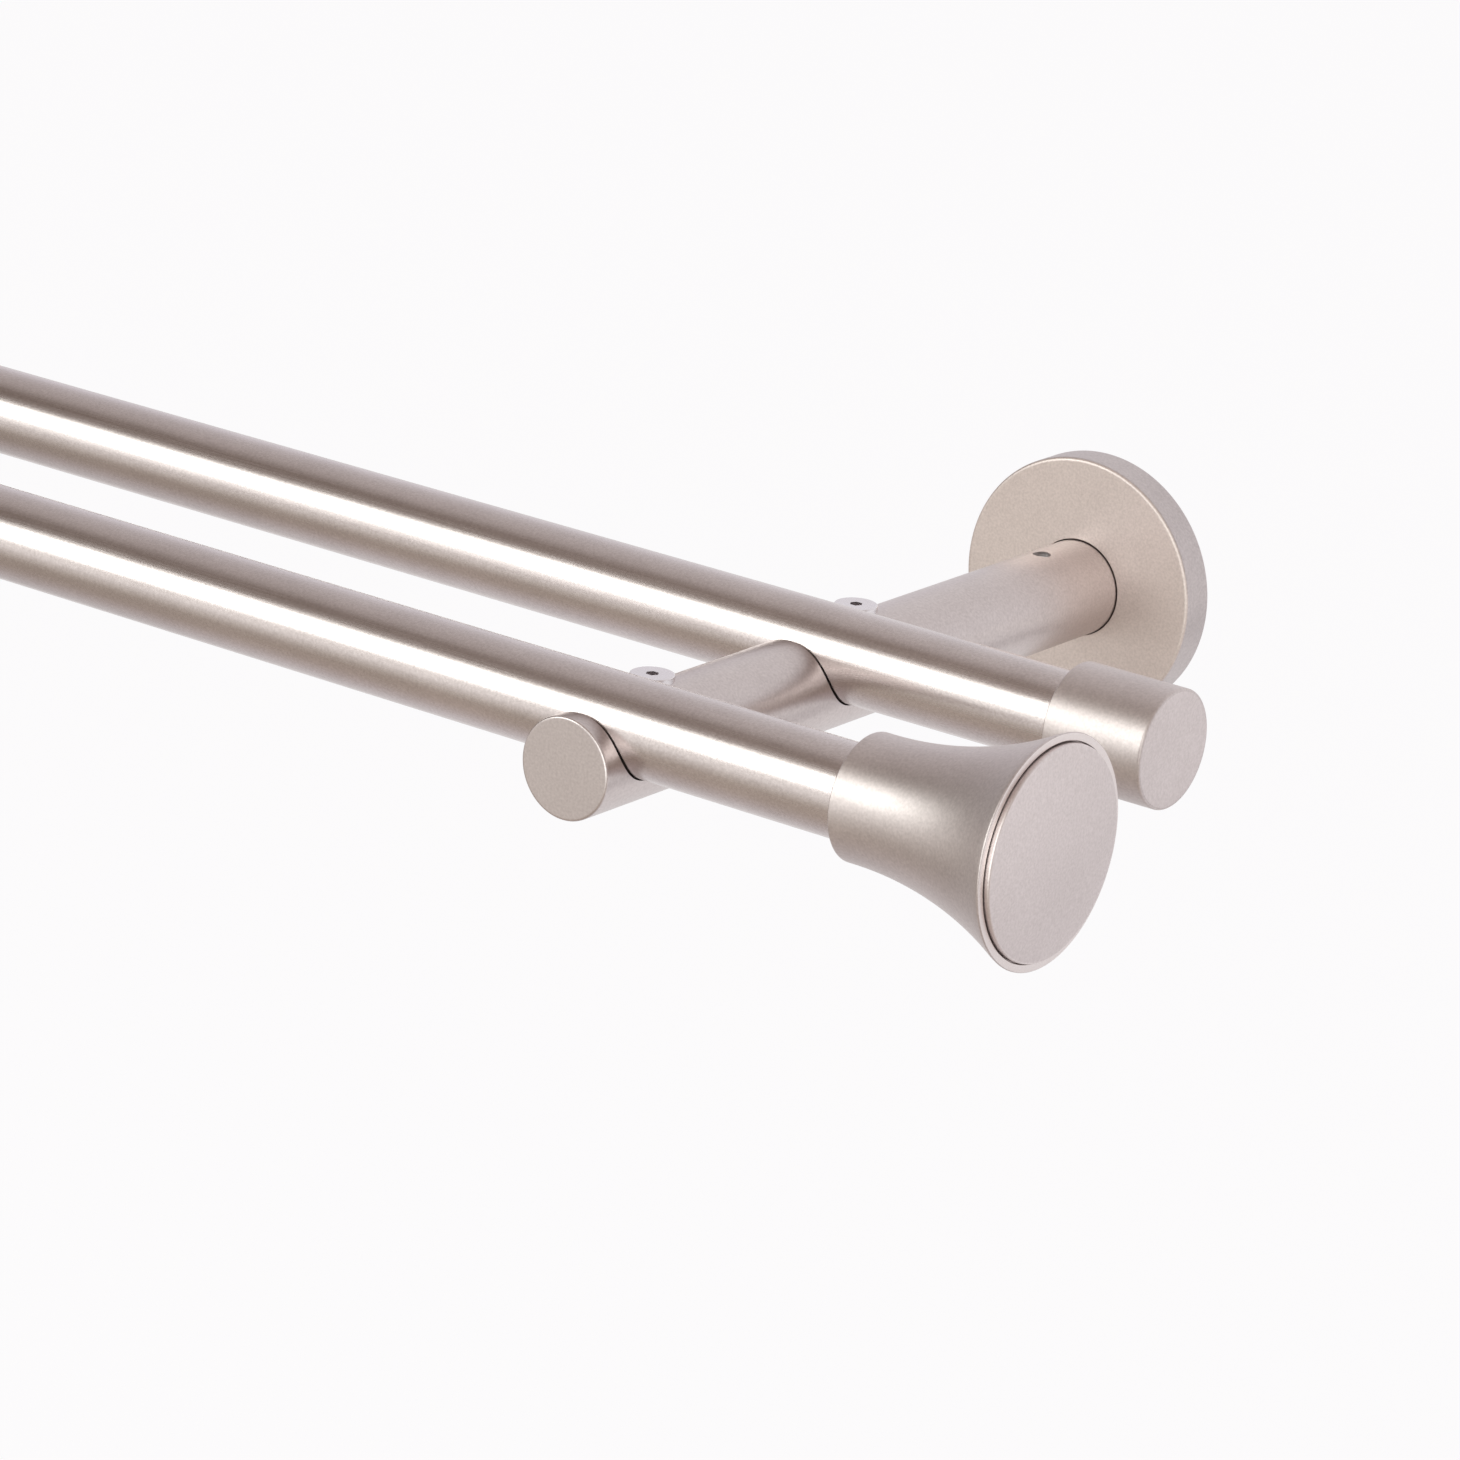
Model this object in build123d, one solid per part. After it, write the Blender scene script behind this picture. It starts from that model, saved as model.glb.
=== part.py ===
from build123d import *
import os
from math import cos, radians, sin, sqrt

# Double curtain rod: two tubes side by side in two wall brackets.
# The front tube ends in finials and the rear tube in plain caps.
# The wall is the plane Y = 0, the room is towards -Y, X runs along the rods and Z points up.
# The origin lies on the wall, midway between the brackets, at the height of the bracket arms' axis.

# Tubes
rod_length = 1000.0
rod_diameter = 20.0
rod_wall = 1.0
rod_overhang = 87.5
rear_rod_from_wall = 109.0
rod_spacing = 71.5
rod_axis_below_crown = 3.5

# Bracket arm: a round bar, bored at the wall end and notched for the tubes
arm_diameter = 22.0
arm_stub = 4.2
arm_front_chamfer = 0.7
arm_back_chamfer = 0.3
notch_clearance = 0.3

# Wall plate, spigot and the screw that joins them
plate_thickness = 4.0
plate_rim_gap = 3.0
fixing_hole_diameter = 5.5
fixing_hole_sink_diameter = 10.0
fixing_hole_from_rim = 8.0
spigot_diameter = 13.0
spigot_length = 36.0
spigot_clearance = 0.1
spigot_chamfer = 1.0
bore_run_out = 2.0
groove_depth = 0.5
groove_width = 5.0
plate_screw_diameter = 6.0
plate_screw_head_diameter = 12.0
plate_screw_length = 16.0
plate_screw_recess = 0.3
plate_screw_hexagon = 4.0
plate_screw_hole_clearance = 0.2

# Wall cover: a shallow turned cup over the plate
cover_diameter = 60.0
cover_depth = 8.5
cover_front = 2.5
cover_side = 2.0
cover_round = 1.0
cover_clearance = 0.2

# Clamp screws: the rim of the wide flat head bears on the tube's rear upper side
clamp_head_diameter = 9.5
clamp_head_height = 1.5
clamp_head_chamfer = 0.3
clamp_thread_diameter = 4.0
clamp_thread_length = 14.0
clamp_hexagon = 2.5
clamp_hexagon_depth = 2.0
clamp_bite_angle = 32.0
clamp_bite_clearance = 0.05

# Grub screws in the arm and in the sleeves on the tube ends
grub_diameter = 4.0
grub_length = 4.0
grub_chamfer = 0.5
grub_hexagon = 2.0
grub_hexagon_depth = 1.5
grub_from_wall = 24.0
sleeve_grub_from_edge = 8.0
sleeve_grub_recess = 0.3
thread_clearance = 0.05
drill_run_out = 1.0

# End cap on the rear tube
cap_length = 24.0
cap_end = 3.0
cap_side = 2.75
cap_end_chamfer = 0.7

# Finial on the front tube: a sleeve that flares to a rim, with a domed disc let into it
sleeve_clearance = 0.15
sleeve_edge_chamfer = 0.4
finial_length = 43.5
finial_socket_depth = 23.0
finial_web = 4.0
finial_sleeve_side = 3.25
finial_straight = 2.0
finial_rim_diameter = 48.2
finial_rim_chamfer = 0.5
finial_shell = 2.5
rim_lip = 1.5
rebate_depth = 1.2
disc_gap = 0.5
disc_proud = 1.2
disc_dome = 1.0
disc_edge_chamfer = 0.5
stem_diameter = 8.0
stem_clearance = 0.05

# Places worked out from the sizes above
rod_radius = rod_diameter / 2
arm_radius = arm_diameter / 2
rod_end = rod_length / 2
bracket_x = rod_end - rod_overhang
front_rod_from_wall = rear_rod_from_wall + rod_spacing
rod_z = arm_radius - rod_axis_below_crown
notch_radius = rod_radius + notch_clearance
arm_end_from_wall = front_rod_from_wall + notch_radius + arm_stub
spigot_radius = spigot_diameter / 2
spigot_end_from_wall = plate_thickness + spigot_length
cover_radius = cover_diameter / 2
plate_radius = cover_radius - cover_side - plate_rim_gap
fixing_hole_z = plate_radius - fixing_hole_from_rim
grub_radius = grub_diameter / 2
clamp_head_radius = clamp_head_diameter / 2
clamp_thread_radius = clamp_thread_diameter / 2
clamp_seat_z = rod_z + rod_radius * sin(radians(clamp_bite_angle))
clamp_behind_rod = rod_radius * cos(radians(clamp_bite_angle)) + clamp_head_radius + clamp_bite_clearance
sleeve_bore_radius = rod_radius + sleeve_clearance
cap_radius = sleeve_bore_radius + cap_side
finial_sleeve_radius = sleeve_bore_radius + finial_sleeve_side
finial_rim_radius = finial_rim_diameter / 2
rebate_radius = finial_rim_radius - rim_lip
disc_radius = rebate_radius - disc_gap
stem_radius = stem_diameter / 2

# Turned pieces are drawn along X and then set in one of these directions
TO_ROOM = Rot(0, 0, -90)
UP = Rot(0, -90, 0)
DOWN = Rot(0, 90, 0)


def turned(corners, rounds=None):
    """Revolve about X of an outline of (distance along X, radius) corners, with a rounding at each corner."""
    outline = FilletPolyline(*corners, radius=rounds or [0] * len(corners), close=True)
    return revolve(make_face(outline), Axis.X)


def hexagon_socket(across_flats, depth, mouth):
    """Six-sided pocket along X whose mouth is at the given X."""
    prism = extrude(RegularPolygon(across_flats / 2, 6, major_radius=False), depth)
    return Pos(mouth - depth, 0, 0) * Rot(0, 90, 0) * prism


def tube(from_wall):
    """One curtain tube, open at both ends."""
    bore = rod_radius - rod_wall
    wall = turned([(-rod_end, bore), (rod_end, bore), (rod_end, rod_radius), (-rod_end, rod_radius)])
    return Pos(0, -from_wall, rod_z) * wall


def wall_plate():
    """Punched disc with two countersunk holes for wall screws and one for the spigot's screw."""
    disc = turned([(0, 0), (plate_thickness, 0), (plate_thickness, plate_radius), (0, plate_radius)])
    hole = fixing_hole_diameter / 2
    sink = fixing_hole_sink_diameter / 2
    sink_start = plate_thickness - (sink - hole)
    fixing = turned([(0, 0), (plate_thickness, 0), (plate_thickness, sink), (sink_start, hole), (0, hole)])
    for z in (-fixing_hole_z, fixing_hole_z):
        disc -= Pos(0, 0, z) * fixing
    thread = plate_screw_diameter / 2
    head = plate_screw_head_diameter / 2
    gap = plate_screw_hole_clearance
    sink_end = plate_screw_recess + head - thread
    disc -= turned([(0, 0), (plate_thickness, 0), (plate_thickness, thread + gap), (sink_end, thread + gap),
                    (plate_screw_recess, head + gap), (0, head + gap)])
    return TO_ROOM * disc


def spigot():
    """Turned pin on the plate, tapped from behind, with a groove that the arm's grub screw bites in."""
    back = plate_thickness
    end = spigot_end_from_wall
    groove = spigot_radius - groove_depth
    groove_start = grub_from_wall - groove_width / 2
    groove_end = grub_from_wall + groove_width / 2
    pin = turned([(back, 0), (end, 0), (end, spigot_radius - spigot_chamfer),
                  (end - spigot_chamfer, spigot_radius), (groove_end, spigot_radius), (groove_end, groove),
                  (groove_start, groove), (groove_start, spigot_radius), (back, spigot_radius)])
    tapped = plate_screw_diameter / 2 + thread_clearance
    tapped_end = plate_screw_recess + plate_screw_length + drill_run_out
    pin -= turned([(back, 0), (tapped_end, 0), (tapped_end, tapped), (back, tapped)])
    return TO_ROOM * pin


def plate_screw():
    """Countersunk screw from behind the plate into the spigot."""
    thread = plate_screw_diameter / 2
    head = plate_screw_head_diameter / 2
    start = plate_screw_recess
    end = start + plate_screw_length
    screw = turned([(start, 0), (end, 0), (end, thread), (start + head - thread, thread), (start, head)])
    socket_depth = plate_screw_head_diameter / 2 - plate_screw_diameter / 2
    screw -= hexagon_socket(plate_screw_hexagon, socket_depth, start + socket_depth)
    return TO_ROOM * screw


def wall_cover():
    """Shallow cup with a hole for the arm and a rounded front edge."""
    hole = arm_radius + cover_clearance
    inner = cover_radius - cover_side
    back = cover_depth - cover_front
    outline = [(back, hole), (cover_depth, hole), (cover_depth, cover_radius), (0, cover_radius), (0, inner),
               (back, inner)]
    return TO_ROOM * turned(outline, [0, 0, cover_round, 0, 0, 0])


def arm():
    """Round bar, bored over the spigot, with a notch open to the top and a tapped hole for each tube."""
    back = plate_thickness
    end = arm_end_from_wall
    bore = spigot_radius + spigot_clearance
    bore_end = spigot_end_from_wall + bore_run_out
    bar = turned([(back, bore), (bore_end, bore), (bore_end, 0), (end, 0),
                  (end, arm_radius - arm_front_chamfer), (end - arm_front_chamfer, arm_radius),
                  (back + arm_back_chamfer, arm_radius), (back, arm_radius - arm_back_chamfer)])
    bar = TO_ROOM * bar

    grub_hole = Cylinder(grub_radius + thread_clearance, arm_radius,
                         align=(Align.CENTER, Align.CENTER, Align.MIN))
    bar -= Pos(0, -grub_from_wall, 0) * grub_hole

    notch_height = arm_radius - rod_z
    slot = Pos(0, 0, notch_height / 2) * Box(arm_diameter, 2 * notch_radius, notch_height)
    notch = Rot(0, 90, 0) * Cylinder(notch_radius, arm_diameter) + slot
    tapped_depth = clamp_thread_length + drill_run_out
    tapped = Cylinder(clamp_thread_radius + thread_clearance, tapped_depth,
                      align=(Align.CENTER, Align.CENTER, Align.MAX))
    for from_wall in (rear_rod_from_wall, front_rod_from_wall):
        bar -= Pos(0, -from_wall, rod_z) * notch
        bar -= Pos(0, clamp_behind_rod - from_wall, clamp_seat_z) * tapped
    return bar


def clamp_screw(from_wall):
    """Screw with a thin wide head behind one tube."""
    top = clamp_thread_length + clamp_head_height
    seat = clamp_thread_length
    screw = turned([(0, 0), (top, 0), (top, clamp_head_radius - clamp_head_chamfer),
                    (top - clamp_head_chamfer, clamp_head_radius), (seat, clamp_head_radius),
                    (seat, clamp_thread_radius), (0, clamp_thread_radius)])
    screw -= hexagon_socket(clamp_hexagon, clamp_hexagon_depth, top)
    return Pos(0, clamp_behind_rod - from_wall, clamp_seat_z - clamp_thread_length) * UP * screw


def grub_screw(length):
    """Headless screw along X with its tip at X = 0 and a hexagon socket at the other end."""
    tip = grub_radius - grub_chamfer
    screw = turned([(0, 0), (length, 0), (length, grub_radius), (grub_chamfer, grub_radius), (0, tip)])
    return screw - hexagon_socket(grub_hexagon, grub_hexagon_depth, length)


def arm_grub_screw():
    """Grub screw on top of the arm, its tip in the spigot's groove."""
    return Pos(0, -grub_from_wall, spigot_radius - groove_depth) * UP * grub_screw(grub_length)


def sleeve_grub_screw(sleeve_radius):
    """Grub screw under a sleeve, from the tube's wall to just inside the sleeve, its tip at the origin."""
    return DOWN * grub_screw(sleeve_radius - sleeve_grub_recess - rod_radius)


def sleeve_grub_hole(sleeve_radius):
    """Hole down through one side of a sleeve whose axis is X."""
    return Cylinder(grub_radius + thread_clearance, sleeve_radius + drill_run_out,
                    align=(Align.CENTER, Align.CENTER, Align.MAX))


def end_cap():
    """Plain cap drawn from its open edge at X = 0."""
    floor = cap_length - cap_end
    bore = sleeve_bore_radius
    cap = turned([(floor, 0), (cap_length, 0), (cap_length, cap_radius - cap_end_chamfer),
                  (cap_length - cap_end_chamfer, cap_radius), (sleeve_edge_chamfer, cap_radius),
                  (0, cap_radius - sleeve_edge_chamfer), (0, bore), (floor, bore)])
    return cap - Pos(sleeve_grub_from_edge, 0, 0) * sleeve_grub_hole(cap_radius)


flare_length = finial_length - finial_rim_chamfer - finial_straight
flare_rise = finial_rim_radius - finial_sleeve_radius
flare_bend = (flare_length ** 2 + flare_rise ** 2) / (2 * flare_rise)


def flare_radius(along, depth):
    """Radius of the flare at a distance from the finial's open edge, a given depth below its skin."""
    centre = finial_sleeve_radius + flare_bend
    return centre - sqrt((flare_bend + depth) ** 2 - (along - finial_straight) ** 2)


def finial_body():
    """Sleeve, web and trumpet flare in one turned shell, drawn from its open edge at X = 0."""
    web_end = finial_socket_depth + finial_web
    rebate = finial_length - rebate_depth
    hole = stem_radius + stem_clearance
    cup_back = (web_end, flare_radius(web_end, finial_shell))
    cup_middle = (web_end + rebate) / 2
    cup_front = (rebate, flare_radius(rebate, finial_shell))
    flare_start = (finial_straight, finial_sleeve_radius)
    outer = Polyline((0, sleeve_bore_radius), (0, finial_sleeve_radius - sleeve_edge_chamfer),
                     (sleeve_edge_chamfer, finial_sleeve_radius), flare_start)
    rim_back = (finial_length - finial_rim_chamfer, finial_rim_radius)
    outer += TangentArc(flare_start, rim_back, tangent=(1, 0))
    inner = Polyline(rim_back, (finial_length, finial_rim_radius - finial_rim_chamfer),
                     (finial_length, rebate_radius), (rebate, rebate_radius), cup_front)
    inner += ThreePointArc(cup_front, (cup_middle, flare_radius(cup_middle, finial_shell)), cup_back)
    inner += Polyline(cup_back, (web_end, hole), (finial_socket_depth, hole),
                      (finial_socket_depth, sleeve_bore_radius), (0, sleeve_bore_radius))
    body = revolve(make_face(outer + inner), Axis.X)
    return body - Pos(sleeve_grub_from_edge, 0, 0) * sleeve_grub_hole(finial_sleeve_radius)


def finial_disc():
    """Domed disc on the rebate's shoulder with a stem in the web, drawn in the finial body's place."""
    back = finial_length - rebate_depth
    edge = finial_length + disc_proud
    top = (edge + disc_dome, 0)
    shoulder = (edge, disc_radius - disc_edge_chamfer)
    outline = TangentArc(top, shoulder, tangent=(0, 1))
    stem_end = finial_socket_depth
    outline += Polyline(shoulder, (edge - disc_edge_chamfer, disc_radius), (back, disc_radius),
                        (back, stem_radius), (stem_end, stem_radius), (stem_end, 0), top)
    return revolve(make_face(outline), Axis.X)


def save(name, *solids):
    """One STEP file for one node, with one solid or a group of like ones."""
    export_step(solids[0] if len(solids) == 1 else Compound(children=list(solids)), f"parts/{name}.step")


def mirrored(solid):
    """The same piece at the left end."""
    return mirror(solid, about=Plane.YZ)


os.makedirs("parts", exist_ok=True)

save("rear_rod", tube(rear_rod_from_wall))
save("front_rod", tube(front_rod_from_wall))

# The two brackets are alike, and each is the same on both sides of its arm
brackets = {"left": Pos(-bracket_x, 0, 0), "right": Pos(bracket_x, 0, 0)}
for side, place in brackets.items():
    save(f"{side}_wall_plate", place * wall_plate())
    save(f"{side}_spigot", place * spigot())
    save(f"{side}_wall_cover", place * wall_cover())
    save(f"{side}_arm", place * arm())
save("plate_screws", *[place * plate_screw() for place in brackets.values()])
save("arm_grub_screws", *[place * arm_grub_screw() for place in brackets.values()])
save("clamp_screws", *[place * clamp_screw(from_wall) for place in brackets.values()
                       for from_wall in (rear_rod_from_wall, front_rod_from_wall)])

# The tube ends are drawn at the right and mirrored to the left
finial_edge = rod_end - finial_socket_depth
finial_place = Pos(finial_edge, -front_rod_from_wall, rod_z)
cap_edge = rod_end + cap_end - cap_length
cap_place = Pos(cap_edge, -rear_rod_from_wall, rod_z)
grub_on_tube = Pos(sleeve_grub_from_edge, 0, -rod_radius)
right_ends = {
    "finial_body": finial_place * finial_body(),
    "finial_disc": finial_place * finial_disc(),
    "end_cap": cap_place * end_cap(),
}
for name, solid in right_ends.items():
    save(f"right_{name}", solid)
    save(f"left_{name}", mirrored(solid))
sleeve_grubs = {
    "finial_grub_screws": finial_place * grub_on_tube * sleeve_grub_screw(finial_sleeve_radius),
    "cap_grub_screws": cap_place * grub_on_tube * sleeve_grub_screw(cap_radius),
}
for name, solid in sleeve_grubs.items():
    save(name, solid, mirrored(solid))
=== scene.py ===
from math import cos, pi, radians, sin, sqrt, tan

import bmesh
import bpy
from mathutils import Euler, Matrix, Vector


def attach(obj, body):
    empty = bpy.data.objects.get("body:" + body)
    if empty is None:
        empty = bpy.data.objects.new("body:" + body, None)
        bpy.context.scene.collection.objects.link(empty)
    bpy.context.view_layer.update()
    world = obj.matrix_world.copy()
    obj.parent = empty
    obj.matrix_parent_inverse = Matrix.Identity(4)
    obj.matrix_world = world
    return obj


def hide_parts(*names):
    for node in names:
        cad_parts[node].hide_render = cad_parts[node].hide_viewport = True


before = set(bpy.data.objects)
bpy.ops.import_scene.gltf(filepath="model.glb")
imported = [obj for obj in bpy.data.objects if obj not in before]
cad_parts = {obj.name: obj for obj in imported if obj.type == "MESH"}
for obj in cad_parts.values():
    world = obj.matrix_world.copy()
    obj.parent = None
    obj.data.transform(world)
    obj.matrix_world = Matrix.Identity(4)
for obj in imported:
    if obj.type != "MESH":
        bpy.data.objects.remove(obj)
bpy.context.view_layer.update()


# Wall plates, spigots and plate screws: a punched steel disc goes on the wall, and a countersunk
# screw from behind it holds the turned pin that the bracket arm slides over.
# They are zinc plated, and only the back of the part shows them.
MM = 0.001
CRYSTAL = 1.5


def linear(code):
    """An sRGB colour, written as six hex digits, as the linear colour that shaders take."""
    parts = [int(code[i:i + 2], 16) / 255 for i in (1, 3, 5)]
    return [p / 12.92 if p <= 0.04045 else ((p + 0.055) / 1.055) ** 2.4 for p in parts] + [1.0]


def add(tree, kind, inputs=None, **settings):
    """Adds one node with its settings, and sets each input to a value or links it to a node's output."""
    made = tree.nodes.new(kind)
    for name, value in settings.items():
        setattr(made, name, value)
    for name, value in (inputs or {}).items():
        if isinstance(value, bpy.types.NodeSocket):
            tree.links.new(value, made.inputs[name])
        else:
            made.inputs[name].default_value = value
    return made


# Bright zinc plating on steel: bluish grey, with a faint crystalline patchwork that shows as
# patches of slightly different gloss.
zinc = bpy.data.materials.new("bright_zinc_plating")
zinc.use_nodes = True
tree = zinc.node_tree
shader = tree.nodes["Principled BSDF"]
place = add(tree, "ShaderNodeTexCoord").outputs["Object"]
crystals = add(tree, "ShaderNodeTexVoronoi", {"Vector": place, "Scale": 1 / (CRYSTAL * MM)})
patch = add(tree, "ShaderNodeSeparateColor", {"Color": crystals.outputs["Color"]}).outputs["Red"]
colour = add(tree, "ShaderNodeValToRGB", {"Fac": patch})
colour.color_ramp.elements[0].color = linear("#A9ADB2")
colour.color_ramp.elements[1].color = linear("#C4C6C6")
gloss = add(tree, "ShaderNodeMapRange", {"Value": patch, "To Min": 0.28, "To Max": 0.4})
tree.links.new(colour.outputs["Color"], shader.inputs["Base Color"])
tree.links.new(gloss.outputs["Result"], shader.inputs["Roughness"])
shader.inputs["Metallic"].default_value = 1.0

for name in ("left_wall_plate", "right_wall_plate", "left_spigot", "right_spigot", "plate_screws"):
    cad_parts[name].material_slots[0].material = zinc


# Wall covers: a shallow turned cup of nickel-plated steel, 60 mm across, slides along each arm
# and hides the plate and its screws. The front edge is rounded off.
BRACKET_X = 412.5
ARM_RADIUS = 11.0
COVER_RADIUS = 30.0
COVER_DEPTH = 8.5
COVER_EDGE_ROUND = 0.8
COVER_HOLE_RADIUS = ARM_RADIUS + 0.2
HOLLOW_RADIUS = 28.0
HOLLOW_DEPTH = 6.0
FACETS = 192
CORNER_STEPS = 6
EVEN_GRAIN = (0.4, 0.4, 0.4)
GRIT = 0.6
GRIT_SHARE = 0.75
CLOUD = 14.0
GLOSS_SPREAD = 0.03


def satin_nickel(name, roughness, lay, grain, shades=("#C3B9B7", "#D7CDCB")):
    """Satin nickel plating: a warm pale grey metal, finely brushed or blasted before it is plated, so
    that highlights have soft edges and a fine grain. lay gives the length of the marks along X, Y and
    Z, and grain their depth, in millimetres. Grit is too fine to show, so it is drawn coarser."""
    finish = bpy.data.materials.new(name)
    finish.use_nodes = True
    tree = finish.node_tree
    shader = tree.nodes["Principled BSDF"]
    shader.inputs["Metallic"].default_value = 1.0
    place = add(tree, "ShaderNodeTexCoord").outputs["Object"]
    along = add(tree, "ShaderNodeMapping",
                {"Vector": place, "Scale": [1 / (length * MM) for length in lay]})
    marks = add(tree, "ShaderNodeTexNoise",
                {"Vector": along.outputs["Vector"], "Scale": 1.0, "Detail": 3.0}).outputs["Fac"]
    clouds = add(tree, "ShaderNodeTexNoise", {"Vector": place, "Scale": 1 / (CLOUD * MM), "Detail": 3.0})
    grit = add(tree, "ShaderNodeTexNoise", {"Vector": place, "Scale": 1 / (GRIT * MM), "Detail": 2.0})
    speckle = add(tree, "ShaderNodeMix",
                  {"Factor": GRIT_SHARE, "A": clouds.outputs["Fac"], "B": grit.outputs["Fac"]})
    colour = add(tree, "ShaderNodeValToRGB", {"Fac": speckle.outputs["Result"]})
    for end, position, shade in zip(colour.color_ramp.elements, (0.3, 0.7), shades):
        end.position = position
        end.color = linear(shade)
    gloss = add(tree, "ShaderNodeMapRange",
                {"Value": marks, "From Min": 0.25, "From Max": 0.75,
                 "To Min": roughness - GLOSS_SPREAD, "To Max": roughness + GLOSS_SPREAD})
    relief = add(tree, "ShaderNodeBump", {"Height": marks, "Strength": 1.0, "Distance": grain * MM})
    tree.links.new(colour.outputs["Color"], shader.inputs["Base Color"])
    tree.links.new(gloss.outputs["Result"], shader.inputs["Roughness"])
    tree.links.new(relief.outputs["Normal"], shader.inputs["Normal"])
    return finish


# A lathe: it rounds the corners of an outline, sweeps it round the X axis, and then turns and places
# the piece. The outline is swept on a thin core and drawn that much closer in, so that it can reach
# the axis, where its ends are welded.
CORE = 1.0
WELD = 0.002
turning = bpy.data.node_groups.new("turning", "GeometryNodeTree")
for name, kind in (("Outline", "NodeSocketGeometry"), ("Facets", "NodeSocketInt"),
                   ("Corner steps", "NodeSocketInt"), ("Turn", "NodeSocketVector"),
                   ("Place", "NodeSocketVector"), ("Finish", "NodeSocketMaterial")):
    turning.interface.new_socket(name, in_out="INPUT", socket_type=kind)
turning.interface.new_socket("Piece", in_out="OUTPUT", socket_type="NodeSocketGeometry")
given = add(turning, "NodeGroupInput").outputs
drawn = add(turning, "GeometryNodeMeshToCurve", {"Mesh": given["Outline"]})
corner = add(turning, "GeometryNodeInputNamedAttribute", {"Name": "round"}, data_type="FLOAT")
rounded = add(turning, "GeometryNodeFilletCurve",
              {"Curve": drawn.outputs["Curve"], "Count": given["Corner steps"],
               "Radius": corner.outputs["Attribute"], "Limit Radius": True}, mode="POLY")
outline = add(turning, "GeometryNodeSetPosition",
              {"Geometry": rounded.outputs["Curve"], "Offset": (-CORE * MM, 0, 0)})
circle = add(turning, "GeometryNodeCurvePrimitiveCircle",
             {"Resolution": given["Facets"], "Radius": CORE * MM})
path = add(turning, "GeometryNodeSetCurveNormal", {"Curve": circle.outputs["Curve"]}, mode="Z_UP")
swept = add(turning, "GeometryNodeCurveToMesh",
            {"Curve": path.outputs["Curve"], "Profile Curve": outline.outputs["Geometry"]})
welded = add(turning, "GeometryNodeMergeByDistance",
             {"Geometry": swept.outputs["Mesh"], "Distance": WELD * MM})
outward = add(turning, "GeometryNodeFlipFaces", {"Mesh": welded.outputs["Geometry"]})
laid = add(turning, "GeometryNodeTransform",
           {"Geometry": outward.outputs["Mesh"], "Rotation": Euler((0, pi / 2, 0))})
facing = add(turning, "FunctionNodeEulerToRotation", {"Euler": given["Turn"]})
placed = add(turning, "GeometryNodeTransform",
             {"Geometry": laid.outputs["Geometry"], "Rotation": facing.outputs["Rotation"],
              "Translation": given["Place"]})
real = add(turning, "GeometryNodeRealizeInstances", {"Geometry": placed.outputs["Geometry"]})
plated = add(turning, "GeometryNodeSetMaterial",
             {"Geometry": real.outputs["Geometry"], "Material": given["Finish"]})
add(turning, "NodeGroupOutput", {"Piece": plated.outputs["Geometry"]})

SHARP_FROM = 32
BRACE = 0.15
BRACE_ROOM = 2.5
TO_ROOM = (0, 0, -pi / 2)


def harden(piece):
    """Makes the result of a piece's modifiers its own plain mesh, smooth but for its sharp edges."""
    mesh = bpy.data.meshes.new_from_object(piece.evaluated_get(bpy.context.evaluated_depsgraph_get()))
    piece.modifiers.clear()
    piece.data = mesh
    mesh.shade_smooth()
    mesh.set_sharp_from_angle(angle=radians(SHARP_FROM))


def run_tree(piece, group, **values):
    """Runs a node tree on a piece with its named inputs set."""
    step = piece.modifiers.new(group.name, "NODES")
    step.node_group = group
    for item in group.interface.items_tree:
        if item.in_out == "INPUT" and item.name in values:
            step[item.identifier] = values[item.name]
    harden(piece)


def braced(outline, closed):
    """The outline with a point beside each rounded corner, so that the flats and walls next to it
    shade true."""
    points = []
    for i, (along, radius, rounding) in enumerate(outline):
        corner = Vector((along, radius))
        before, after = (Vector(outline[j % len(outline)][:2]) - corner for j in (i - 1, i + 1))
        inside = closed or 0 < i < len(outline) - 1
        beside = rounding / tan(before.angle(after) / 2) + BRACE if inside and rounding else 0
        for edge in (before, None, after):
            if edge is None:
                points.append((along, radius, rounding))
            elif beside and edge.length > BRACE_ROOM * beside:
                points.append((*(corner + edge.normalized() * beside), 0))
    return points


def turned(name, outline, closed, turn, place, finish, facets=FACETS):
    """A turned piece from an outline of (along, radius, rounding) corners in millimetres."""
    outline = braced(outline, closed)
    mesh = bpy.data.meshes.new(name)
    last = len(outline) - 1
    edges = [(i, i + 1) for i in range(last)] + ([(last, 0)] if closed else [])
    mesh.from_pydata([(radius * MM, -along * MM, 0) for along, radius, _ in outline], edges, [])
    rounds = mesh.attributes.new("round", "FLOAT", "POINT")
    rounds.data.foreach_set("value", [r * MM for _, _, r in outline])
    piece = bpy.data.objects.new(name, mesh)
    bpy.context.scene.collection.objects.link(piece)
    run_tree(piece, turning, Facets=facets, Turn=turn, Place=[p * MM for p in place], Finish=finish,
             **{"Corner steps": CORNER_STEPS})
    return piece


def refinish(piece, finish, chosen):
    """Gives the chosen faces of a piece a second finish."""
    piece.data.materials.append(finish)
    for face in piece.data.polygons:
        if chosen(face):
            face.material_index = 1


def stands_for(piece, *nodes, slot="satin_nickel"):
    """Puts a finished piece in the frame in place of the CAD nodes."""
    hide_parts(*nodes)
    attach(piece, "root")


def on_cover_side(face):
    """Whether a face of a cover belongs to its side wall and not to its front or back."""
    return abs(face.normal.y) < 0.4


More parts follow.
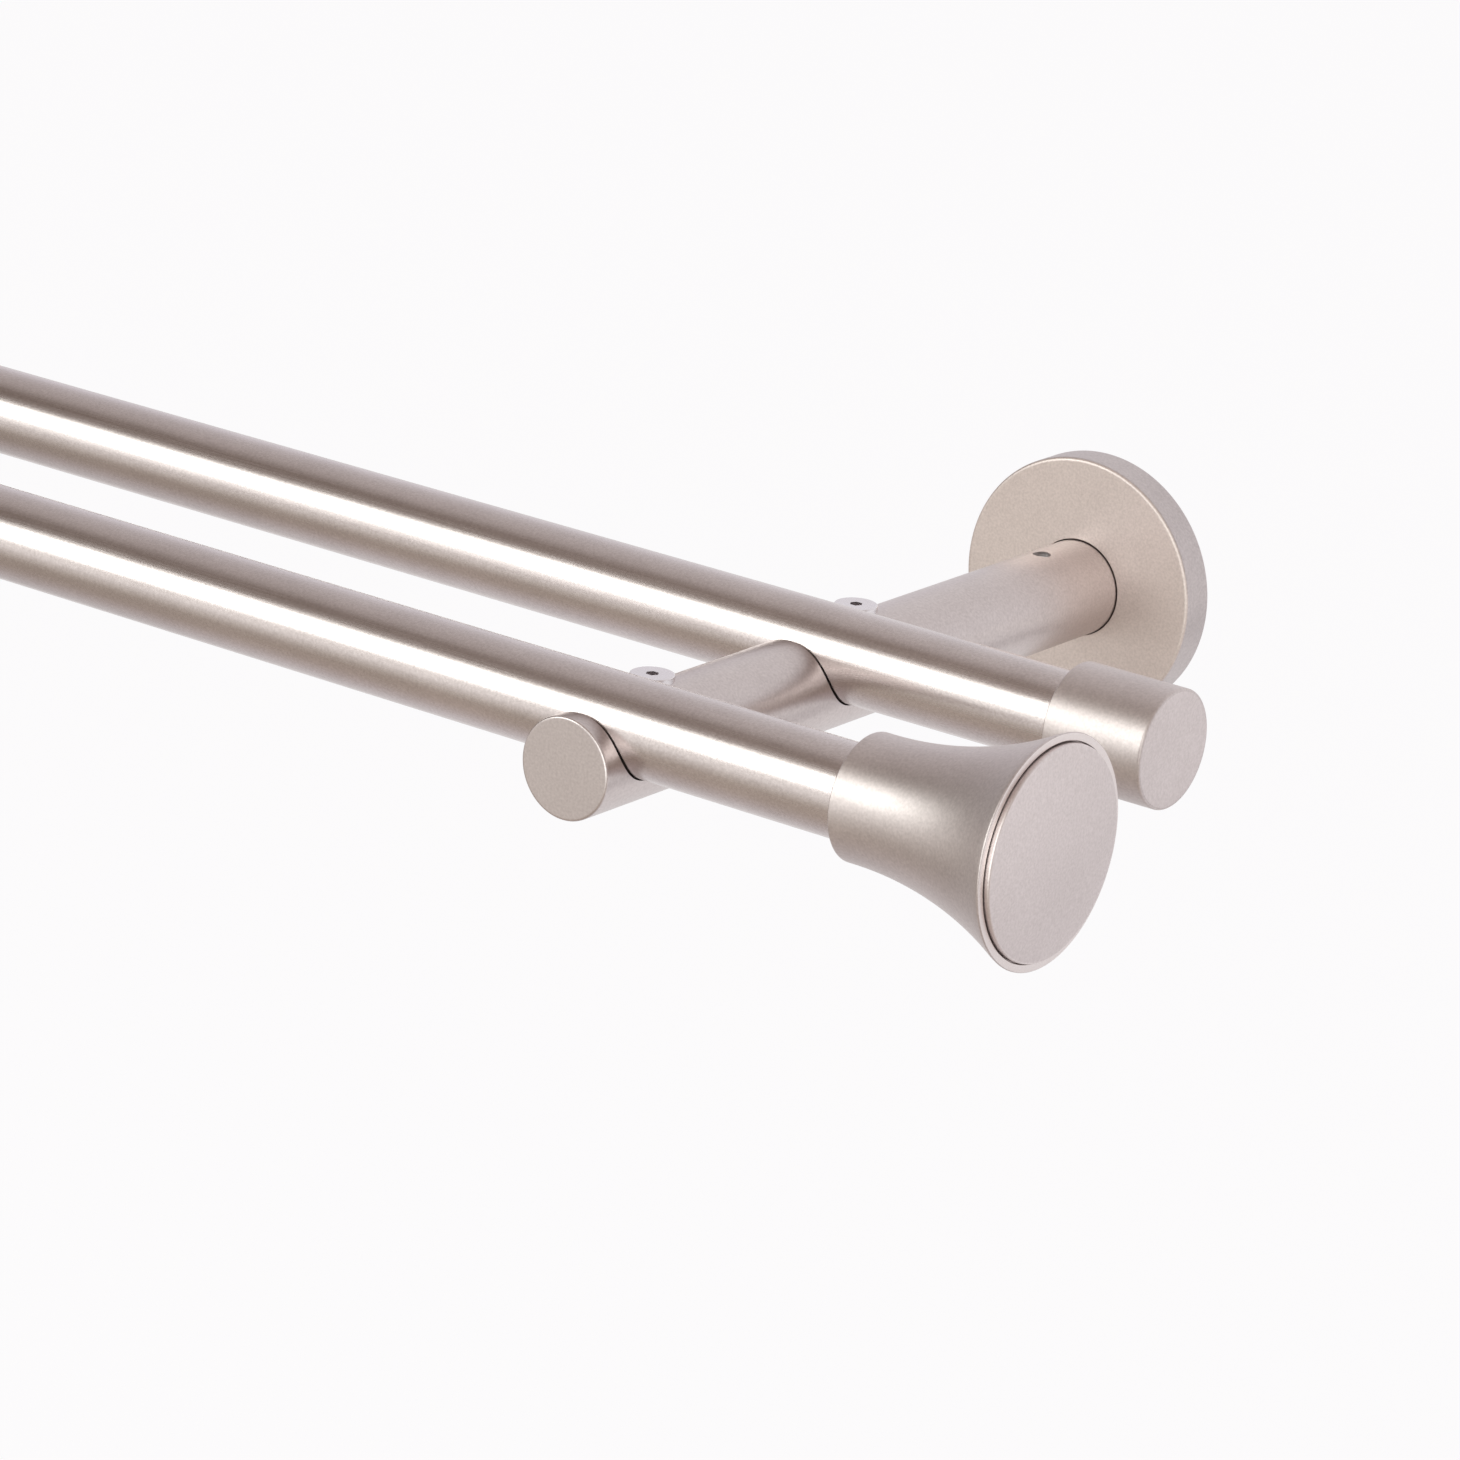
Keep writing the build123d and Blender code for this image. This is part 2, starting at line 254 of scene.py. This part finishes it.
# The face is blasted, so it is matt. The side is blasted less, so it is smoother. The face is also painted
# paler than the side: painted light, so that it looks more brightly lit.
cover_plating = satin_nickel("satin_nickel_painted_paler_cover_face", 0.49, EVEN_GRAIN, 0.0012, ("#D1C5C0", "#E5D9D4"))
side_plating = satin_nickel("satin_nickel_on_cover_side", 0.42, EVEN_GRAIN, 0.0012, ("#BDB4B3", "#D1C8C7"))
cover_outline = [(0, HOLLOW_RADIUS, 0.1), (0, COVER_RADIUS, 0.15),
                 (COVER_DEPTH, COVER_RADIUS, COVER_EDGE_ROUND), (COVER_DEPTH, COVER_HOLE_RADIUS, 0.15),
                 (HOLLOW_DEPTH, COVER_HOLE_RADIUS, 0.1), (HOLLOW_DEPTH, HOLLOW_RADIUS, 0.3)]
for side, x in (("left", -BRACKET_X), ("right", BRACKET_X)):
    cover = turned(f"{side}_cover_cup", cover_outline, True, TO_ROOM, (x, 0, 0), cover_plating)
    refinish(cover, side_plating, on_cover_side)
    stands_for(cover, f"{side}_wall_cover")


# Bracket arms: a 22 mm round steel bar, nickel plated and bored at the wall end to fit over the spigot.
# Two notches open to the top hold the tubes, and tapped holes take the clamp screws and the grub screw.
REAR_Y = -109.0
FRONT_Y = -180.5
TUBE_Z = 7.5
ARM_START = 4.0
ARM_END = 195.0
ARM_END_ROUND = 0.5
ARM_BORE_RADIUS = 6.6
ARM_BORE_END = 42.0
NOTCH_RADIUS = 10.35
NOTCH_STEPS = 96
NOTCH_TOP = 6.0
CLAMP_BEHIND = 13.28
CLAMP_SEAT_Z = 12.8
GRUB_Y = -24.0
TAPPED_RADIUS = 2.05
TAPPED_BOTTOM = -2.2
HOLE_FACETS = 48
PAST_ARM = 14


def prism(name, corners, low, high, axes):
    """A closed bar from low to high along its own Z, with a flat outline of corners in millimetres."""
    shape = bmesh.new()
    base = shape.faces.new([shape.verts.new((u * MM, v * MM, low * MM)) for u, v in corners])
    grown = bmesh.ops.extrude_face_region(shape, geom=[base])["geom"]
    bmesh.ops.translate(shape, verts=[g for g in grown if isinstance(g, bmesh.types.BMVert)],
                        vec=(0, 0, (high - low) * MM))
    bmesh.ops.transform(shape, verts=shape.verts, matrix=axes)
    bmesh.ops.recalc_face_normals(shape, faces=shape.faces)
    mesh = bpy.data.meshes.new(name)
    shape.to_mesh(mesh)
    shape.free()
    piece = bpy.data.objects.new(name, mesh)
    bpy.context.scene.collection.objects.link(piece)
    return piece


def ring(radius, count):
    """Corners on a circle."""
    return [(radius * cos(2 * pi * i / count), radius * sin(2 * pi * i / count)) for i in range(count)]


def at(x, y, z, turn=(0, 0, 0)):
    """A place in millimetres, with a turn."""
    return Matrix.Translation(Vector((x, y, z)) * MM) @ Euler(turn).to_matrix().to_4x4()


def cut(piece, *cutters):
    """Takes the cutters out of a piece."""
    for cutter in cutters:
        bite = piece.modifiers.new("bite", "BOOLEAN")
        bite.object = cutter
        bite.solver = "EXACT"
    harden(piece)
    for cutter in cutters:
        bpy.data.objects.remove(cutter)


# The bar is blasted more finely than the covers, so its highlights are a little tighter.
arm_plating = satin_nickel("satin_nickel_on_bar", 0.33, (0.4, 0.7, 0.4), 0.0008)
arm_outline = [(ARM_BORE_END, 0, 0), (ARM_BORE_END, ARM_BORE_RADIUS, 0), (ARM_START, ARM_BORE_RADIUS, 0.1),
               (ARM_START, ARM_RADIUS, 0.25), (ARM_END, ARM_RADIUS, ARM_END_ROUND), (ARM_END, 0, 0)]
below = [pi + pi * i / NOTCH_STEPS for i in range(NOTCH_STEPS + 1)]
notch_outline = ([(NOTCH_RADIUS * cos(a), NOTCH_RADIUS * sin(a)) for a in below]
                 + [(NOTCH_RADIUS, NOTCH_TOP), (-NOTCH_RADIUS, NOTCH_TOP)])
tapped_outline = ring(TAPPED_RADIUS, HOLE_FACETS)
ACROSS_ARM = (pi / 2, 0, pi / 2)
for side, x in (("left", -BRACKET_X), ("right", BRACKET_X)):
    arm = turned(f"{side}_arm_bar", arm_outline, False, TO_ROOM, (x, 0, 0), arm_plating)
    cutters = [prism("grub_hole", tapped_outline, 0, PAST_ARM, at(x, GRUB_Y, 0))]
    for y in (REAR_Y, FRONT_Y):
        cutters.append(prism("notch", notch_outline, -PAST_ARM, PAST_ARM, at(x, y, TUBE_Z, ACROSS_ARM)))
        cutters.append(prism("tapped_hole", tapped_outline, TAPPED_BOTTOM, PAST_ARM,
                             at(x, y + CLAMP_BEHIND, 0)))
    cut(arm, *cutters)
    stands_for(arm, f"{side}_arm")


# Grub screws: headless steel screws with a hexagon socket, one on top of each arm and one under each
# sleeve on the tubes' ends. They are zinc plated and sit just below the surface.
# A tree sets out like screws in rows and columns.
setting_out = bpy.data.node_groups.new("setting_out", "GeometryNodeTree")
for name, kind in (("Screw", "NodeSocketGeometry"), ("Columns", "NodeSocketInt"), ("Rows", "NodeSocketInt"),
                   ("Column spacing", "NodeSocketFloat"), ("Row spacing", "NodeSocketFloat"),
                   ("Place", "NodeSocketVector"), ("Finish", "NodeSocketMaterial")):
    setting_out.interface.new_socket(name, in_out="INPUT", socket_type=kind)
setting_out.interface.new_socket("Screws", in_out="OUTPUT", socket_type="NodeSocketGeometry")
given = add(setting_out, "NodeGroupInput").outputs
grid = add(setting_out, "GeometryNodeMeshGrid",
           {"Size X": given["Column spacing"], "Size Y": given["Row spacing"],
            "Vertices X": given["Columns"], "Vertices Y": given["Rows"]})
centred = add(setting_out, "GeometryNodeTransform",
              {"Geometry": grid.outputs["Mesh"], "Translation": given["Place"]})
screws = add(setting_out, "GeometryNodeInstanceOnPoints",
             {"Points": centred.outputs["Geometry"], "Instance": given["Screw"]})
real = add(setting_out, "GeometryNodeRealizeInstances", {"Geometry": screws.outputs["Instances"]})
plated = add(setting_out, "GeometryNodeSetMaterial",
             {"Geometry": real.outputs["Geometry"], "Material": given["Finish"]})
add(setting_out, "NodeGroupOutput", {"Screws": plated.outputs["Geometry"]})

UP = (0, -pi / 2, 0)
DOWN = (0, pi / 2, 0)
PITCH = 0.7
THREAD_RADIUS = 2.0
THREAD_DEPTH = 0.3
SCREW_FACETS = 64
GRUB_TIP_RADIUS = 1.5
GRUB_TOP_RADIUS = 1.95
GRUB_SOCKET = 2.0
GRUB_SOCKET_DEPTH = 1.5
ARM_GRUB_LENGTH = 4.0
ARM_GRUB_TIP_Z = 6.0
FINIAL_GRUB_LENGTH = 3.1
CAP_GRUB_LENGTH = 2.6
FINIAL_EDGE = 477.0
CAP_EDGE = 479.0
GRUB_FROM_EDGE = 8.0
TUBE_RADIUS = 10.0


def threaded(start, end):
    """Crests and roots of a coarse thread along a screw."""
    count = int((end - start) / PITCH)
    return [corner for i in range(count)
            for corner in ((start + i * PITCH, THREAD_RADIUS, 0),
                           (start + (i + 0.5) * PITCH, THREAD_RADIUS - THREAD_DEPTH, 0))]


def hexagon(flats):
    """Corners of a hexagon, from its width across the flats."""
    return ring(flats / 2 / cos(pi / 6), 6)


def grub_screw(name, length, turn):
    """One grub screw from its tip at the origin."""
    outline = ([(0, 0, 0), (0, GRUB_TIP_RADIUS, 0)] + threaded(0.5, length - 0.2)
               + [(length, GRUB_TOP_RADIUS, 0.1), (length, 0, 0)])
    screw = turned(name, outline, False, turn, (0, 0, 0), zinc, SCREW_FACETS)
    cut(screw, prism("socket", hexagon(GRUB_SOCKET), length - GRUB_SOCKET_DEPTH, length + 1,
                     at(0, 0, 0, turn) @ at(0, 0, 0, DOWN)))
    return screw


def set_out(screws, columns, rows, spacing, place, finish):
    """Sets out copies of a screw on a grid about a place, in millimetres."""
    run_tree(screws, setting_out, Columns=columns, Rows=rows, Place=[p * MM for p in place], Finish=finish,
             **{"Column spacing": spacing[0] * MM, "Row spacing": spacing[1] * MM})


arm_grubs = grub_screw("arm_grubs", ARM_GRUB_LENGTH, UP)
set_out(arm_grubs, 2, 1, (2 * BRACKET_X, 0), (0, GRUB_Y, ARM_GRUB_TIP_Z), zinc)
stands_for(arm_grubs, "arm_grub_screws", slot="zinc_plated_steel")
for name, edge, y, length in (("finial_grubs", FINIAL_EDGE, FRONT_Y, FINIAL_GRUB_LENGTH),
                              ("cap_grubs", CAP_EDGE, REAR_Y, CAP_GRUB_LENGTH)):
    grubs = grub_screw(name, length, DOWN)
    set_out(grubs, 2, 1, (2 * (edge + GRUB_FROM_EDGE), 0), (0, y, TUBE_Z - TUBE_RADIUS), zinc)
    stands_for(grubs, f"{name[:-1]}_screws", slot="zinc_plated_steel")


# Curtain tubes: two thin-walled 20 mm steel tubes, one metre long, brushed along their length and
# nickel plated. They lie in the arms' notches.
TUBE_END = 500
TUBE_BORE_RADIUS = 9.0
BRUSHED_ALONG = (30.0, 0.35, 0.35)
# The brush marks draw each highlight out along the tube and soften its edges.
tube_plating = satin_nickel("satin_nickel_on_brushed_tube", 0.26, BRUSHED_ALONG, 0.0008)
tube_outline = [(TUBE_END, TUBE_BORE_RADIUS, 0.1), (-TUBE_END, TUBE_BORE_RADIUS, 0.1),
                (-TUBE_END, TUBE_RADIUS, 0.2), (TUBE_END, TUBE_RADIUS, 0.2)]
for name, y in (("rear", REAR_Y), ("front", FRONT_Y)):
    tube = turned(f"{name}_tube", tube_outline, True, (0, 0, 0), (0, y, TUBE_Z), tube_plating)
    stands_for(tube, f"{name}_rod")


# Clamp screws: steel screws with a thin wide flat head and a hexagon socket, nickel plated without
# brushing, so the heads are paler and brighter than the arms. One stands behind each tube, and the rim
# of its head bears on it.
CLAMP_TIP_RADIUS = 1.6
CLAMP_SHANK = 14.0
CLAMP_LENGTH = 15.5
CLAMP_HEAD_RADIUS = 4.75
CLAMP_SOCKET = 2.5
CLAMP_SOCKET_FLOOR = 13.5
screw_plating = satin_nickel("bright_nickel_on_screws", 0.26, EVEN_GRAIN, 0.0006, ("#DFD9DB", "#E4DFE1"))
clamp_outline = ([(0, 0, 0), (0, CLAMP_TIP_RADIUS, 0)] + threaded(0.4, CLAMP_SHANK - 0.2)
                 + [(CLAMP_SHANK, THREAD_RADIUS, 0), (CLAMP_SHANK, CLAMP_HEAD_RADIUS, 0.15),
                    (CLAMP_LENGTH, CLAMP_HEAD_RADIUS, 0.3), (CLAMP_LENGTH, 0, 0)])
clamps = turned("clamp_discs", clamp_outline, False, UP, (0, 0, 0), screw_plating, SCREW_FACETS)
cut(clamps, prism("socket", hexagon(CLAMP_SOCKET), CLAMP_SOCKET_FLOOR, CLAMP_LENGTH + 0.5, at(0, 0, 0)))
set_out(clamps, 2, 2, (2 * BRACKET_X, REAR_Y - FRONT_Y),
        (0, (REAR_Y + FRONT_Y) / 2 + CLAMP_BEHIND, CLAMP_SEAT_Z - CLAMP_SHANK), screw_plating)
stands_for(clamps, "clamp_screws")


# End caps: a plain turned steel cap, nickel plated, goes over each end of the rear tube. A grub screw
# underneath holds it.
CAP_LENGTH = 24.0
CAP_RADIUS = 12.9
CAP_FLOOR = 21.0
SLEEVE_BORE_RADIUS = 10.15
PAST_SLEEVE = 15
AT_RIGHT = (0, 0, 0)
AT_LEFT = (0, 0, pi)
ENDS = (("left", -1, AT_LEFT), ("right", 1, AT_RIGHT))


def beyond(x):
    """A choice of the faces at x or further out, in millimetres, at either end of the tubes."""
    return lambda face: abs(face.center.x) > (x - 0.01) * MM


# Outer sides are blasted to a soft sheen. End faces are a little glossier and are painted paler: painted
# light, so that the end faces and the finial discs look more brightly lit.
sleeve_plating = satin_nickel("satin_nickel_on_casting", 0.41, EVEN_GRAIN, 0.0012)
face_plating = satin_nickel("satin_nickel_painted_paler_face", 0.38, EVEN_GRAIN, 0.0012, ("#D4CAC8", "#E5DBDA"))
cap_outline = [(CAP_FLOOR, 0, 0), (CAP_FLOOR, SLEEVE_BORE_RADIUS, 0.2), (0, SLEEVE_BORE_RADIUS, 0.15),
               (0, CAP_RADIUS, 0.35), (CAP_LENGTH, CAP_RADIUS, 0.6), (CAP_LENGTH, 0, 0)]
for side, sign, turn in ENDS:
    cap = turned(f"{side}_cap", cap_outline, False, turn, (sign * CAP_EDGE, REAR_Y, TUBE_Z), sleeve_plating)
    cut(cap, prism("grub_hole", tapped_outline, -PAST_SLEEVE, 0,
                   at(sign * (CAP_EDGE + GRUB_FROM_EDGE), REAR_Y, TUBE_Z)))
    # The end face takes the paler plating, whose paler colour is painted light.
    refinish(cap, face_plating, beyond(CAP_EDGE + CAP_LENGTH))
    stands_for(cap, f"{side}_end_cap")


# Finial bodies: a cast and turned sleeve on each end of the front tube, which flares like a trumpet
# to a 48 mm rim. A shoulder inside the rim takes the disc.
SLEEVE_RADIUS = 13.4
FINIAL_LENGTH = 43.5
FLARE_START = 2.0
FLARE_BEND = 83.9
FLARE_CENTRE = SLEEVE_RADIUS + FLARE_BEND
FLARE_STEPS = 32
RIM_CORNER = 24.22
LIP_RADIUS = 22.4
SHOULDER = 42.3
SHELL = 2.5
WEB_START = 23.0
WEB_END = 27.0
STEM_HOLE_RADIUS = 4.05


def flare(start, end, depth):
    """Corners along the flare's arc, a given depth below its skin."""
    places = [start + (end - start) * i / FLARE_STEPS for i in range(FLARE_STEPS + 1)]
    return [(s, FLARE_CENTRE - sqrt((FLARE_BEND + depth) ** 2 - (s - FLARE_START) ** 2), 0) for s in places]


# The lip is a little glossier than the flare and is painted paler: painted light, so that it looks more
# brightly lit than the flare.
lip_plating = satin_nickel("satin_nickel_painted_paler_lip", 0.36, EVEN_GRAIN, 0.0008, ("#ECE2DF", "#F0E8E6"))
skin = flare(FLARE_START, FINIAL_LENGTH, 0)
skin[-1] = (FINIAL_LENGTH, RIM_CORNER, 0.25)
finial_outline = ([(0, SLEEVE_BORE_RADIUS, 0.15), (0, SLEEVE_RADIUS, 0.35)] + skin
                  + [(FINIAL_LENGTH, LIP_RADIUS, 0.12), (SHOULDER, LIP_RADIUS, 0.1)]
                  + flare(SHOULDER, WEB_END, SHELL)
                  + [(WEB_END, STEM_HOLE_RADIUS, 0), (WEB_START, STEM_HOLE_RADIUS, 0),
                     (WEB_START, SLEEVE_BORE_RADIUS, 0)])
for side, sign, turn in ENDS:
    finial = turned(f"{side}_trumpet", finial_outline, True, turn, (sign * FINIAL_EDGE, FRONT_Y, TUBE_Z),
                    sleeve_plating)
    cut(finial, prism("grub_hole", tapped_outline, -PAST_SLEEVE, 0,
                      at(sign * (FINIAL_EDGE + GRUB_FROM_EDGE), FRONT_Y, TUBE_Z)))
    # The lip takes the paler plating, whose paler colour is painted light.
    refinish(finial, lip_plating, beyond(FINIAL_EDGE + FINIAL_LENGTH))
    stands_for(finial, f"{side}_finial_body")


# Finial discs: a slightly domed nickel-plated disc on a stem closes the flare, with a narrow gap all
# round inside the rim. The stem is pressed into the web.
DISC_RADIUS = 22.1
DISC_EDGE = 44.65
DOME_TOP = 45.7
DOME_BEND = 233.8
DOME_STEPS = 24
STEM_RADIUS = 4.0
dome = [(DOME_TOP - DOME_BEND + sqrt(DOME_BEND ** 2 - r ** 2), r, 0)
        for r in [DISC_RADIUS * (1 - i / DOME_STEPS) for i in range(1, DOME_STEPS + 1)]]
disc_outline = ([(WEB_START, 0, 0), (WEB_START, STEM_RADIUS, 0.3), (SHOULDER, STEM_RADIUS, 0),
                 (SHOULDER, DISC_RADIUS, 0.1), (DISC_EDGE, DISC_RADIUS, 0.5)] + dome)
for side, sign, turn in ENDS:
    # Each disc takes the paler plating, whose paler colour is painted light.
    disc = turned(f"{side}_domed_disc", disc_outline, False, turn, (sign * FINIAL_EDGE, FRONT_Y, TUBE_Z),
                  face_plating)
    stands_for(disc, f"{side}_finial_disc")


# Floor: a plain sheet of white paper under and behind the part. The camera sees it plain white.
# The metal mirrors a glow from it that has painted shade: greyer towards the front and the left, and in a
# band far to the right.
FLOOR_Z = -0.6
FLOOR_HALF = 9.0
FLOOR_GLOW = 0.96
# A Mix node's colour sockets go by number, because they share their names with its other sockets.
COLOUR_A, COLOUR_B, MIXED = 6, 7, 2
paper = bpy.data.materials.new("white_paper")
paper.use_nodes = True
tree = paper.node_tree
tree.nodes.remove(tree.nodes["Principled BSDF"])
place = add(tree, "ShaderNodeTexCoord").outputs["Object"]
spot = add(tree, "ShaderNodeSeparateXYZ", {"Vector": place}).outputs
tones = {}
# Tones by distance in metres: from front to back, from left to right close to the rods and far from
# them, and how close to the rods a spot is. The first three paint the shade in the glow.
for tone, axis, stops in (
        ("depth", "Y", ((-2.4, "#F2EFEC"), (-1.5, "#E4DFD7"), (-0.9, "#C4B8AB"), (-0.5, "#CCC0B5"),
                        (-0.25, "#DDD5D3"), (0.05, "#F6F5F8"), (0.3, "#FCFBFC"))),
        ("close", "X", ((-0.8, "#C4C2C0"), (-0.5, "#D0CECC"), (-0.3, "#E1DFDE"), (-0.2, "#EBEAE9"),
                        (-0.1, "#F5F4F4"), (0.05, "#F0EFEE"), (0.25, "#E1DFDD"), (0.5, "#E4E2E0"),
                        (0.8, "#FFFFFF"))),
        ("far", "X", ((0.3, "#FFFFFF"), (0.9, "#FFFFFF"), (1.1, "#CFCCCE"), (1.28, "#B4B1B3"),
                      (1.44, "#FFFFFF"), (1.7, "#FFFFFF"))),
        ("closeness", "Y", ((-1.6, "#000000"), (-0.45, "#FFFFFF"), (0.2, "#FFFFFF"), (0.4, "#000000")))):
    low, high = stops[0][0], stops[-1][0]
    reach = add(tree, "ShaderNodeMapRange", {"Value": spot[axis], "From Min": low, "From Max": high})
    ramp = add(tree, "ShaderNodeValToRGB", {"Fac": reach.outputs["Result"]})
    ramp.color_ramp.elements[0].color = linear(stops[0][1])
    ramp.color_ramp.elements[1].color = linear(stops[-1][1])
    for distance, code in stops[1:-1]:
        ramp.color_ramp.elements.new((distance - low) / (high - low)).color = linear(code)
    tones[tone] = ramp.outputs["Color"]
sideways = add(tree, "ShaderNodeMix",
               {"Factor": tones["closeness"], COLOUR_A: tones["far"], COLOUR_B: tones["close"]},
               data_type="RGBA")
mirrored = add(tree, "ShaderNodeMix",
               {"Factor": 1.0, COLOUR_A: tones["depth"], COLOUR_B: sideways.outputs[MIXED]},
               data_type="RGBA", blend_type="MULTIPLY")
ray = add(tree, "ShaderNodeLightPath").outputs
seen = add(tree, "ShaderNodeMix",
           {"Factor": ray["Is Camera Ray"], COLOUR_A: mirrored.outputs[MIXED], COLOUR_B: linear("#FCFBFC")},
           data_type="RGBA")
direct = add(tree, "ShaderNodeMath", {0: ray["Is Camera Ray"], 1: ray["Is Glossy Ray"]}, operation="MAXIMUM")
shown = add(tree, "ShaderNodeMath", {0: direct.outputs["Value"], 1: ray["Is Transmission Ray"]},
            operation="MAXIMUM")
level = add(tree, "ShaderNodeMath", {0: shown.outputs["Value"], 1: FLOOR_GLOW}, operation="MULTIPLY")
glow = add(tree, "ShaderNodeEmission", {"Color": seen.outputs[MIXED], "Strength": level.outputs["Value"]})
matt = add(tree, "ShaderNodeBsdfDiffuse", {"Color": linear("#404040")})
both = add(tree, "ShaderNodeAddShader", {0: glow.outputs["Emission"], 1: matt.outputs["BSDF"]})
tree.links.new(both.outputs["Shader"], tree.nodes["Material Output"].inputs["Surface"])
sheet = bpy.data.meshes.new("floor")
corners = [(x * FLOOR_HALF, y * FLOOR_HALF, FLOOR_Z) for x, y in ((-1, -1), (1, -1), (1, 1), (-1, 1))]
sheet.from_pydata(corners, [], [(0, 1, 2, 3)])
sheet.materials.append(paper)
floor = bpy.data.objects.new("floor", sheet)
bpy.context.scene.collection.objects.link(floor)


# Studio: a plain room, bright behind the part and to its right, and dim above its front. A softbox and
# a dimmer panel under it stand to the front left, and a window is to the front right, all parallel to
# the rods. The camera sees the room plain white.
# The first four say how far a direction points along X, where -1 is straight to the left.
LEFT_WALL_END, RIGHT_WALL_START = -0.65, -0.4
DIM_FROM, DIM_TO, DIM_LEVEL = -0.95, -0.78, 0.7
room = bpy.data.worlds.new("studio")
room.use_nodes = True
bpy.context.scene.world = room
tree = room.node_tree
direction = add(tree, "ShaderNodeTexCoord").outputs["Generated"]
way = add(tree, "ShaderNodeSeparateXYZ", {"Vector": direction}).outputs
ahead = add(tree, "ShaderNodeMath", {0: way["Y"], 1: -1.0}, operation="MULTIPLY")
over = add(tree, "ShaderNodeMath", {0: way["Z"], 1: ahead.outputs["Value"]}, operation="ARCTAN2")
turn = add(tree, "ShaderNodeMapRange", {"Value": over.outputs["Value"], "From Min": 0.0, "From Max": pi})
walls = {}
# Each band is at an angle in degrees, over the part from the horizon in front to the horizon behind.
for side, bands in (
        ("left", ((0, "#D8D2CE"), (30, "#A99C94"), (55, "#7D6F67"), (76, "#796B62"), (88, "#A89F9A"),
                  (100, "#C0B8B5"), (112, "#C6BFBD"), (136, "#D2CDCE"), (160, "#EAE7ED"), (180, "#F8F6FC"))),
        ("right", ((0, "#FAF8F7"), (30, "#E6E0DC"), (55, "#BFB2AA"), (76, "#B3A69E"), (88, "#CEC6C3"),
                   (100, "#DCD6D4"), (112, "#E3DEDD"), (136, "#F0EEEF"), (160, "#F8F7F9"),
                   (180, "#FBFAFC")))):
    ramp = add(tree, "ShaderNodeValToRGB", {"Fac": turn.outputs["Result"]})
    ramp.color_ramp.elements[0].color = linear(bands[0][1])
    ramp.color_ramp.elements[1].color = linear(bands[-1][1])
    for angle, code in bands[1:-1]:
        ramp.color_ramp.elements.new(angle / 180).color = linear(code)
    walls[side] = ramp.outputs["Color"]
sideways = add(tree, "ShaderNodeMapRange",
               {"Value": way["X"], "From Min": LEFT_WALL_END, "From Max": RIGHT_WALL_START})
both = add(tree, "ShaderNodeMix",
           {"Factor": sideways.outputs["Result"], COLOUR_A: walls["left"], COLOUR_B: walls["right"]},
           data_type="RGBA")
ray = add(tree, "ShaderNodeLightPath").outputs
seen = add(tree, "ShaderNodeMix",
           {"Factor": ray["Is Camera Ray"], COLOUR_A: both.outputs[MIXED], COLOUR_B: linear("#FBFAFB")},
           data_type="RGBA")
dim = add(tree, "ShaderNodeMapRange",
          {"Value": way["X"], "From Min": DIM_FROM, "From Max": DIM_TO, "To Min": DIM_LEVEL})
level = add(tree, "ShaderNodeMath", {0: dim.outputs["Result"], 1: ray["Is Camera Ray"]}, operation="MAXIMUM")
tree.links.new(seen.outputs[MIXED], tree.nodes["Background"].inputs["Color"])
tree.links.new(level.outputs["Value"], tree.nodes["Background"].inputs["Strength"])

SUBJECT = Vector((BRACKET_X * MM, -0.14, 0))
LAMP_COLOUR = (0.93, 1.0, 0.975)
PANEL_DISTANCE = 1.6
WINDOW_DISTANCE = 1.34


def soft_light(name, place, way, width, height, radiance):
    """An area light that shines along way, evenly bright in reflections and unseen by the camera."""
    data = bpy.data.lights.new(name, "AREA")
    data.shape = "RECTANGLE"
    data.size = width
    data.size_y = height
    data.energy = radiance * pi * width * height
    data.color = LAMP_COLOUR
    lamp = bpy.data.objects.new(name, data)
    lamp.location = place
    lamp.rotation_euler = way.to_track_quat("-Z", "Y").to_euler()
    lamp.visible_camera = False
    bpy.context.scene.collection.objects.link(lamp)


def panel(name, across, angles, width, radiance, distance):
    """A soft light in front of the right bracket and parallel to the rods, which fills a range of angles
    above the horizon. across is how far it stands to the right, in metres."""
    low, high = (radians(a) for a in angles)
    middle = (low + high) / 2
    way = Vector((0, -cos(middle), sin(middle)))
    height = 2 * distance * sin((high - low) / 2)
    soft_light(name, SUBJECT + way * distance + Vector((across, 0, 0)), -way, width, height, radiance)


panel("softbox", -1.5, (8.5, 44.5), width=1.7, radiance=3.4, distance=PANEL_DISTANCE)
panel("low_panel", -1.5, (-13, 8.5), width=1.7, radiance=0.34, distance=PANEL_DISTANCE)
panel("window", 0.75, (-22, 42), width=1.6, radiance=1.45, distance=WINDOW_DISTANCE)
# A narrow strip behind the front tube evens out the shade that this tube throws on the rear one.
STRIP_BEHIND, STRIP_ABOVE = 19.0, 1.5
strip_place = Vector((0, FRONT_Y + STRIP_BEHIND, TUBE_Z + STRIP_ABOVE)) * MM
soft_light("tube_strip", strip_place, Vector((0, 1, 0)), width=0.98, height=0.012, radiance=0.95)


# Camera: a long lens from the right and above, at the photograph's viewing angle. It is level but for a
# small roll.
YAW, PITCH_DOWN, ROLL = radians(35.799), radians(-18.535), radians(3.975)
CAMERA_PLACE = (1.073442, -1.055167, 0.374288)
lens = bpy.data.cameras.new("camera")
lens.sensor_width = 36.0
lens.lens = 139.93
camera = bpy.data.objects.new("camera", lens)
aim = (Matrix.Rotation(YAW, 4, "Z") @ Matrix.Rotation(pi / 2 + PITCH_DOWN, 4, "X")
       @ Matrix.Rotation(ROLL, 4, "Z"))
camera.matrix_world = Matrix.Translation(CAMERA_PLACE) @ aim
bpy.context.scene.collection.objects.link(camera)
bpy.context.scene.camera = camera
bpy.context.scene.view_settings.view_transform = "Standard"
